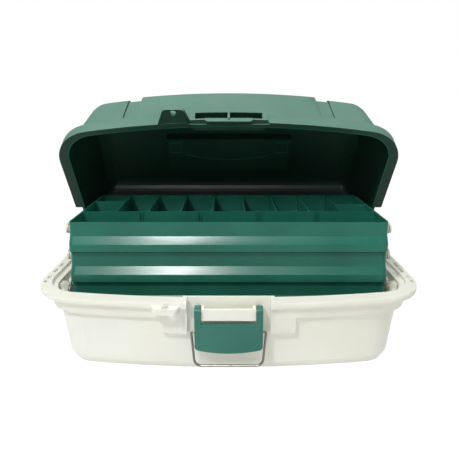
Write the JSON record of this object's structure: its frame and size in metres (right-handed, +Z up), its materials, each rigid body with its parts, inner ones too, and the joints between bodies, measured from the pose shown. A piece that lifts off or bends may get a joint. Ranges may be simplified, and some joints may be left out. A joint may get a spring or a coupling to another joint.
{
  "type": "tackle box",
  "caption": "Low fishing tackle box with a pale tub, a hinged green lid standing half open, stacked cantilever trays and a swing latch with a wire bail.",
  "frame": {"origin": "on the floor, under the middle of the case", "axes": "+X along the case to its right seen from the front, +Y to the hinge side, +Z up"},
  "size_m": [0.456, 0.3066, 0.3103],
  "materials": {
    "case_ivory": "moulded polypropylene, soft gloss",
    "lid_green": "moulded polypropylene, soft gloss",
    "tray_green": "moulded polypropylene, soft gloss",
    "latch_green": "moulded plastic",
    "arm_white": "moulded plastic",
    "rivet_metal": "plain steel",
    "bail_wire": "bright steel wire"
  },
  "bodies": {
    "base": {"base_tub": "case_ivory", "base_lug": "case_ivory", "arm_bracket_left": "case_ivory", "arm_bracket_right": "case_ivory", "base_rivets": "rivet_metal", "latch_pins": "rivet_metal", "hinge_pin_left": "rivet_metal", "hinge_pin_right": "rivet_metal"},
    "lid": {"lid_shell": "lid_green", "handle_pin_left": "rivet_metal", "handle_pin_right": "rivet_metal"},
    "handle": {"carry_handle": "lid_green"},
    "latch": {"latch_tab": "latch_green"},
    "bail": {"latch_bail": "bail_wire"},
    "tray_lower": {"tray_lower": "tray_green", "tray_lower_dividers": "tray_green", "tray_lower_rivets": "arm_white"},
    "arms_front_lower": {"arm_front_lower_left": "arm_white", "arm_front_lower_right": "arm_white"},
    "arms_rear_lower": {"arm_rear_lower_left": "arm_white", "arm_rear_lower_right": "arm_white"},
    "tray_middle": {"tray_middle": "tray_green", "tray_middle_dividers": "tray_green", "tray_middle_rivets": "arm_white"},
    "arms_front_middle": {"arm_front_middle_left": "arm_white", "arm_front_middle_right": "arm_white"},
    "arms_rear_middle": {"arm_rear_middle_left": "arm_white", "arm_rear_middle_right": "arm_white"},
    "tray_upper": {"tray_upper": "tray_green", "tray_upper_dividers": "tray_green", "tray_upper_rivets": "arm_white"},
    "arms_front_upper": {"arm_front_upper_left": "arm_white", "arm_front_upper_right": "arm_white"},
    "arms_rear_upper": {"arm_rear_upper_left": "arm_white", "arm_rear_upper_right": "arm_white"}
  },
  "joints": [
    {"name": "lid_swing", "type": "hinge", "parent": "base", "child": "lid", "pos_m": [0, 0.116, 0.085], "axis": [-1, 0, 0], "range_deg": [-55, 50]},
    {"name": "handle_lift", "type": "hinge", "parent": "lid", "child": "handle", "pos_m": [0, 0.11844, 0.23808], "axis": [1, 0, 0], "range_deg": [0, 90]},
    {"name": "latch_swing", "type": "hinge", "parent": "base", "child": "latch", "pos_m": [0, -0.1203, 0.073], "axis": [1, 0, 0], "range_deg": [-100, 0]},
    {"name": "bail_swing", "type": "hinge", "parent": "latch", "child": "bail", "pos_m": [0, -0.125, 0.0515], "axis": [-1, 0, 0], "range_deg": [0, 175]},
    {"name": "trays_rise", "type": "hinge", "parent": "base", "child": "arms_front_lower", "pos_m": [0, 0.018, 0.061], "axis": [-1, 0, 0], "range_deg": [0, 20]},
    {"name": "arms_rear_lower_swing", "type": "hinge", "parent": "base", "child": "arms_rear_lower", "pos_m": [0, 0.078, 0.061], "axis": [-1, 0, 0], "range_deg": [0, 20]},
    {"name": "tray_lower_level", "type": "hinge", "parent": "arms_front_lower", "child": "tray_lower", "pos_m": [0, -0.055, 0.081], "axis": [-1, 0, 0], "range_deg": [-20, 0]},
    {"name": "arms_front_middle_swing", "type": "hinge", "parent": "tray_lower", "child": "arms_front_middle", "pos_m": [0, -0.012, 0.082], "axis": [-1, 0, 0], "range_deg": [0, 18.4]},
    {"name": "arms_rear_middle_swing", "type": "hinge", "parent": "tray_lower", "child": "arms_rear_middle", "pos_m": [0, 0.048, 0.082], "axis": [-1, 0, 0], "range_deg": [0, 18.4]},
    {"name": "tray_middle_level", "type": "hinge", "parent": "arms_front_middle", "child": "tray_middle", "pos_m": [0, -0.055, 0.116], "axis": [-1, 0, 0], "range_deg": [-18.4, 0]},
    {"name": "arms_front_upper_swing", "type": "hinge", "parent": "tray_middle", "child": "arms_front_upper", "pos_m": [0, -0.012, 0.115], "axis": [-1, 0, 0], "range_deg": [0, 18.4]},
    {"name": "arms_rear_upper_swing", "type": "hinge", "parent": "tray_middle", "child": "arms_rear_upper", "pos_m": [0, 0.048, 0.115], "axis": [-1, 0, 0], "range_deg": [0, 18.4]},
    {"name": "tray_upper_level", "type": "hinge", "parent": "arms_front_upper", "child": "tray_upper", "pos_m": [0, -0.055, 0.149], "axis": [-1, 0, 0], "range_deg": [-18.4, 0]}
  ],
  "couplings": [
    {"joint": "arms_rear_lower_swing", "follows": "trays_rise", "ratio": 1},
    {"joint": "tray_lower_level", "follows": "trays_rise", "ratio": -1},
    {"joint": "arms_front_middle_swing", "follows": "trays_rise", "ratio": 0.92},
    {"joint": "arms_rear_middle_swing", "follows": "trays_rise", "ratio": 0.92},
    {"joint": "tray_middle_level", "follows": "trays_rise", "ratio": -0.92},
    {"joint": "arms_front_upper_swing", "follows": "trays_rise", "ratio": 0.92},
    {"joint": "arms_rear_upper_swing", "follows": "trays_rise", "ratio": 0.92},
    {"joint": "tray_upper_level", "follows": "trays_rise", "ratio": -0.92}
  ]
}
